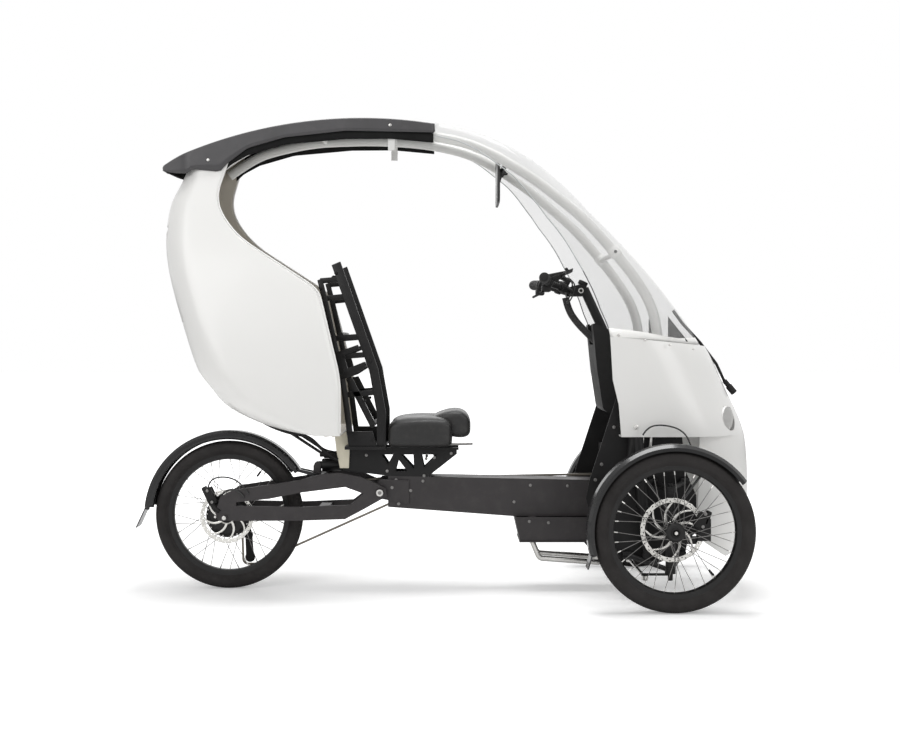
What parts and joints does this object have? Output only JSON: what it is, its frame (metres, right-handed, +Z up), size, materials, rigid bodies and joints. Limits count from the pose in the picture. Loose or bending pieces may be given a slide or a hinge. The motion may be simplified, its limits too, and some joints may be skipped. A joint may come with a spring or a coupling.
{
  "type": "velomobile",
  "caption": "Pedal vehicle with front wheels that steer, one driven rear wheel, a roofed white shell with a rear hatch, a clear wrapped windscreen and an open-backed seat.",
  "frame": {"origin": "on the ground under the middle of the bounding box", "axes": "+X forward along the vehicle, +Y to its left, +Z up"},
  "size_m": [2.0622, 0.824, 1.5631],
  "materials": {
    "white_shell": "gloss",
    "roof_grey": "satin",
    "charcoal_metal": "satin",
    "black_metal": "satin",
    "gloss_black": "gloss",
    "black_plastic": "matte",
    "seat_cover": "matte",
    "grip_rubber": "matte",
    "tyre": "matte",
    "wheel_metal": "satin",
    "bare_steel": "satin",
    "chain_steel": "oiled",
    "pale_tube": "satin",
    "clear_sheet": "clear",
    "lamp_lens": "clear",
    "mirror_plate": "polished"
  },
  "bodies": {
    "chassis": {"main_beam": "charcoal_metal", "battery_tray": "charcoal_metal", "battery": "black_plastic", "skid_tube": "bare_steel", "footwell_sides": "black_metal", "front_frame": "black_metal", "wishbones": "black_metal", "dampers": "black_metal", "swingarm": "charcoal_metal", "rear_fender": "gloss_black", "rear_shock": "black_metal", "chain_tensioner": "black_plastic", "chain": "chain_steel", "seat_bracket": "black_metal", "seat_pad": "seat_cover", "seat_back_frame": "black_metal", "trunk_shell": "white_shell", "trunk_supports": "black_metal", "roof_panel": "roof_grey", "roof_tubes": "pale_tube", "roof_hangers": "white_shell", "windscreen": "clear_sheet", "front_fairing": "white_shell", "headlamps": "lamp_lens", "dash_panel": "black_plastic", "mirror": "mirror_plate", "wiper": "black_plastic"},
    "rear_door": {"trunk_hatch": "white_shell"},
    "steering_column": {"handlebar": "black_metal", "grips_and_levers": "grip_rubber", "cable_loom": "grip_rubber"},
    "lower_shaft": {"steering_shaft": "black_metal"},
    "link_rod": {"track_rod": "bare_steel"},
    "left_upright": {"knuckle_left": "black_metal", "front_fender_left": "gloss_black"},
    "right_upright": {"knuckle_right": "black_metal", "front_fender_right": "gloss_black"},
    "left_wheel": {"tyre_left": "tyre", "wheel_left": "wheel_metal"},
    "right_wheel": {"tyre_right": "tyre", "wheel_right": "wheel_metal"},
    "rear_wheel": {"tyre_rear": "tyre", "wheel_rear": "wheel_metal"},
    "crankset": {"crank": "black_metal"},
    "left_pedal": {"pedal_left": "black_plastic"},
    "right_pedal": {"pedal_right": "black_plastic"}
  },
  "joints": [
    {"name": "handlebar_turn", "type": "hinge", "parent": "chassis", "child": "steering_column", "pos_m": [0.49, 0, 1.009], "axis": [-0.4195, 0, 0.9078], "range_deg": [-20, 20]},
    {"name": "shaft_turn", "type": "hinge", "parent": "chassis", "child": "lower_shaft", "pos_m": [0.722, 0, 0.3], "axis": [0, 0, 1], "range_deg": [-20, 20]},
    {"name": "link_rod_swing", "type": "hinge", "parent": "lower_shaft", "child": "link_rod", "pos_m": [0.642, 0, 0.095], "axis": [0, 0, 1], "range_deg": [-20, 20]},
    {"name": "left_steer", "type": "hinge", "parent": "chassis", "child": "left_upright", "pos_m": [0.722, 0.312, 0.25], "axis": [0, 0, 1], "range_deg": [-20, 20]},
    {"name": "right_steer", "type": "hinge", "parent": "chassis", "child": "right_upright", "pos_m": [0.722, -0.312, 0.25], "axis": [0, 0, 1], "range_deg": [-20, 20]},
    {"name": "left_wheel_spin", "type": "hinge", "parent": "left_upright", "child": "left_wheel", "pos_m": [0.722, 0.38, 0.25], "axis": [0, 1, 0], "continuous": true},
    {"name": "right_wheel_spin", "type": "hinge", "parent": "right_upright", "child": "right_wheel", "pos_m": [0.722, -0.38, 0.25], "axis": [0, 1, 0], "continuous": true},
    {"name": "rear_wheel_spin", "type": "hinge", "parent": "chassis", "child": "rear_wheel", "pos_m": [-0.718, 0, 0.25], "axis": [0, 1, 0], "continuous": true},
    {"name": "crank_spin", "type": "hinge", "parent": "chassis", "child": "crankset", "pos_m": [0.6, 0, 0.318], "axis": [0, 1, 0], "continuous": true},
    {"name": "left_pedal_spin", "type": "hinge", "parent": "crankset", "child": "left_pedal", "pos_m": [0.6, 0.139, 0.468], "axis": [0, 1, 0], "continuous": true},
    {"name": "right_pedal_spin", "type": "hinge", "parent": "crankset", "child": "right_pedal", "pos_m": [0.6, -0.139, 0.168], "axis": [0, 1, 0], "continuous": true},
    {"name": "rear_door_lift", "type": "hinge", "parent": "chassis", "child": "rear_door", "pos_m": [-0.886, 0, 1.192], "axis": [0, 1, 0], "range_deg": [0, 75]}
  ],
  "couplings": [
    {"joint": "shaft_turn", "follows": "handlebar_turn", "ratio": 1},
    {"joint": "left_steer", "follows": "handlebar_turn", "ratio": 1},
    {"joint": "right_steer", "follows": "handlebar_turn", "ratio": 1},
    {"joint": "link_rod_swing", "follows": "handlebar_turn", "ratio": -1}
  ]
}
